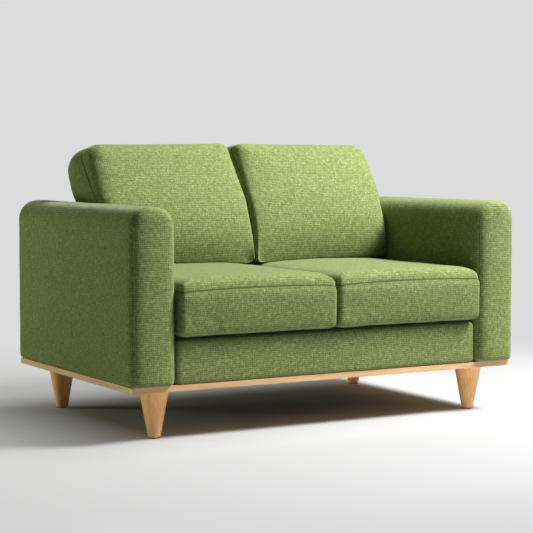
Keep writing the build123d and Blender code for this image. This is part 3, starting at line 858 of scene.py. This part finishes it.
# Stage
def paper_floor():
    """Matt pale grey paper: the eye sees a soft shadow, lightened near the sofa by painted light, and no edge
    where it meets the background.
    """
    material, tree, shader = new_material("matt_pale_grey_paper", Roughness=1.0, Specular_IOR_Level=0.0)
    shader.inputs["Base Color"].default_value = linear(floor_tone)
    place = node(tree, "ShaderNodeTexCoord")
    side = node(tree, "ShaderNodeVectorMath", {"operation": "ABSOLUTE"}, _0=(place, "Object"))
    past = node(tree, "ShaderNodeVectorMath", {"operation": "SUBTRACT"}, _0=(side, 0), _1=footprint)
    apart = node(tree, "ShaderNodeVectorMath", {"operation": "MAXIMUM"}, _0=(past, 0), _1=(0, 0, 0))
    away = node(tree, "ShaderNodeVectorMath", {"operation": "LENGTH"}, _0=(apart, 0))
    far = node(
        tree, "ShaderNodeMapRange", {"interpolation_type": "SMOOTHSTEP"},
        _0=(away, "Value"), _1=fade_start, _2=fade_end,
    )
    # Painted light: close to the sofa a share of the even background tone is mixed in and lifts the sofa's
    # shadow on the floor
    near = node(tree, "ShaderNodeMapRange", _0=(away, "Value"), _2=shadow_lift_reach, _4=shadow_lift_share)
    fade_and_shadow_lift = node(tree, "ShaderNodeMath", {"operation": "MAXIMUM"}, _0=(far, 0), _1=(near, 0))
    path = node(tree, "ShaderNodeLightPath")
    shown = node(tree, "ShaderNodeMath", {"operation": "MULTIPLY"}, _0=(fade_and_shadow_lift, 0), _1=(path, "Is Camera Ray"))
    glow = node(tree, "ShaderNodeEmission", Color=linear(background_tone), Strength=1.0)
    faded = node(tree, "ShaderNodeMixShader", _0=(shown, 0), _1=(shader, "BSDF"), _2=(glow, 0))
    tree.links.new(faded.outputs[0], tree.nodes["Material Output"].inputs["Surface"])
    return material


def softbox(name, place, target, size, power, colour="#FFFFFF"):
    """A square studio light, aimed at a point."""
    data = bpy.data.lights.new(name, "AREA")
    data.shape = "SQUARE"
    data.size = size
    data.energy = power
    data.color = linear(colour)[:3]
    lamp = bpy.data.objects.new(name, data)
    lamp.location = place
    lamp.visible_camera = False
    lamp.rotation_euler = (Vector(target) - Vector(place)).to_track_quat("-Z", "Y").to_euler()
    bpy.context.scene.collection.objects.link(lamp)


def even_background():
    """A world that gives little light and shows as one even tone, in reflections too."""
    world = bpy.data.worlds.new("even_background")
    bpy.context.scene.world = world
    world.use_nodes = True
    sky = world.node_tree
    plain = sky.nodes["Background"]
    plain.inputs["Color"].default_value = linear(sky_tone)
    plain.inputs["Strength"].default_value = sky_strength
    seen = node(sky, "ShaderNodeBackground", Color=linear(background_tone), Strength=1.0)
    path = node(sky, "ShaderNodeLightPath")
    glossy = node(
        sky, "ShaderNodeMath", {"operation": "MAXIMUM"},
        _0=(path, "Is Glossy Ray"), _1=(path, "Is Transmission Ray"),
    )
    shown = node(sky, "ShaderNodeMath", {"operation": "MAXIMUM"}, _0=(path, "Is Camera Ray"), _1=(glossy, 0))
    choice = node(sky, "ShaderNodeMixShader", _0=(shown, 0), _1=(plain, 0), _2=(seen, 0))
    sky.links.new(choice.outputs[0], sky.nodes["World Output"].inputs["Surface"])


def place_camera():
    data = bpy.data.cameras.new("camera")
    data.lens = camera_lens
    data.sensor_width = camera_sensor
    camera = bpy.data.objects.new("camera", data)
    camera.location = camera_place
    camera.rotation_euler = (radians(90 - camera_dip), 0, -radians(camera_turn))
    bpy.context.scene.collection.objects.link(camera)
    bpy.context.scene.camera = camera


bpy.ops.object.select_all(action="DESELECT")
bpy.ops.mesh.primitive_plane_add(size=floor_size)
floor = bpy.context.object
floor.name = "paper_floor"
floor.data.materials.append(paper_floor())

# One high key light from the front right, and a faintly yellow one on the shaded left side
softbox("overhead", place=(1.0, -0.1, 3.2), target=sofa_middle, size=1.6, power=58)
softbox("front_right", place=(2.1, -1.5, 3.0), target=sofa_middle, size=1.1, power=300)
softbox("low_front", place=(1.5, -2.7, 0.45), target=(0.3, -0.3, 0.2), size=0.9, power=3)
softbox("left_rear", place=(-2.6, 1.7, 0.45), target=(-0.7, 0, 0.3), size=0.9, power=29, colour="#F6FFD4")
even_background()
place_camera()
bpy.context.scene.view_settings.view_transform = "Standard"
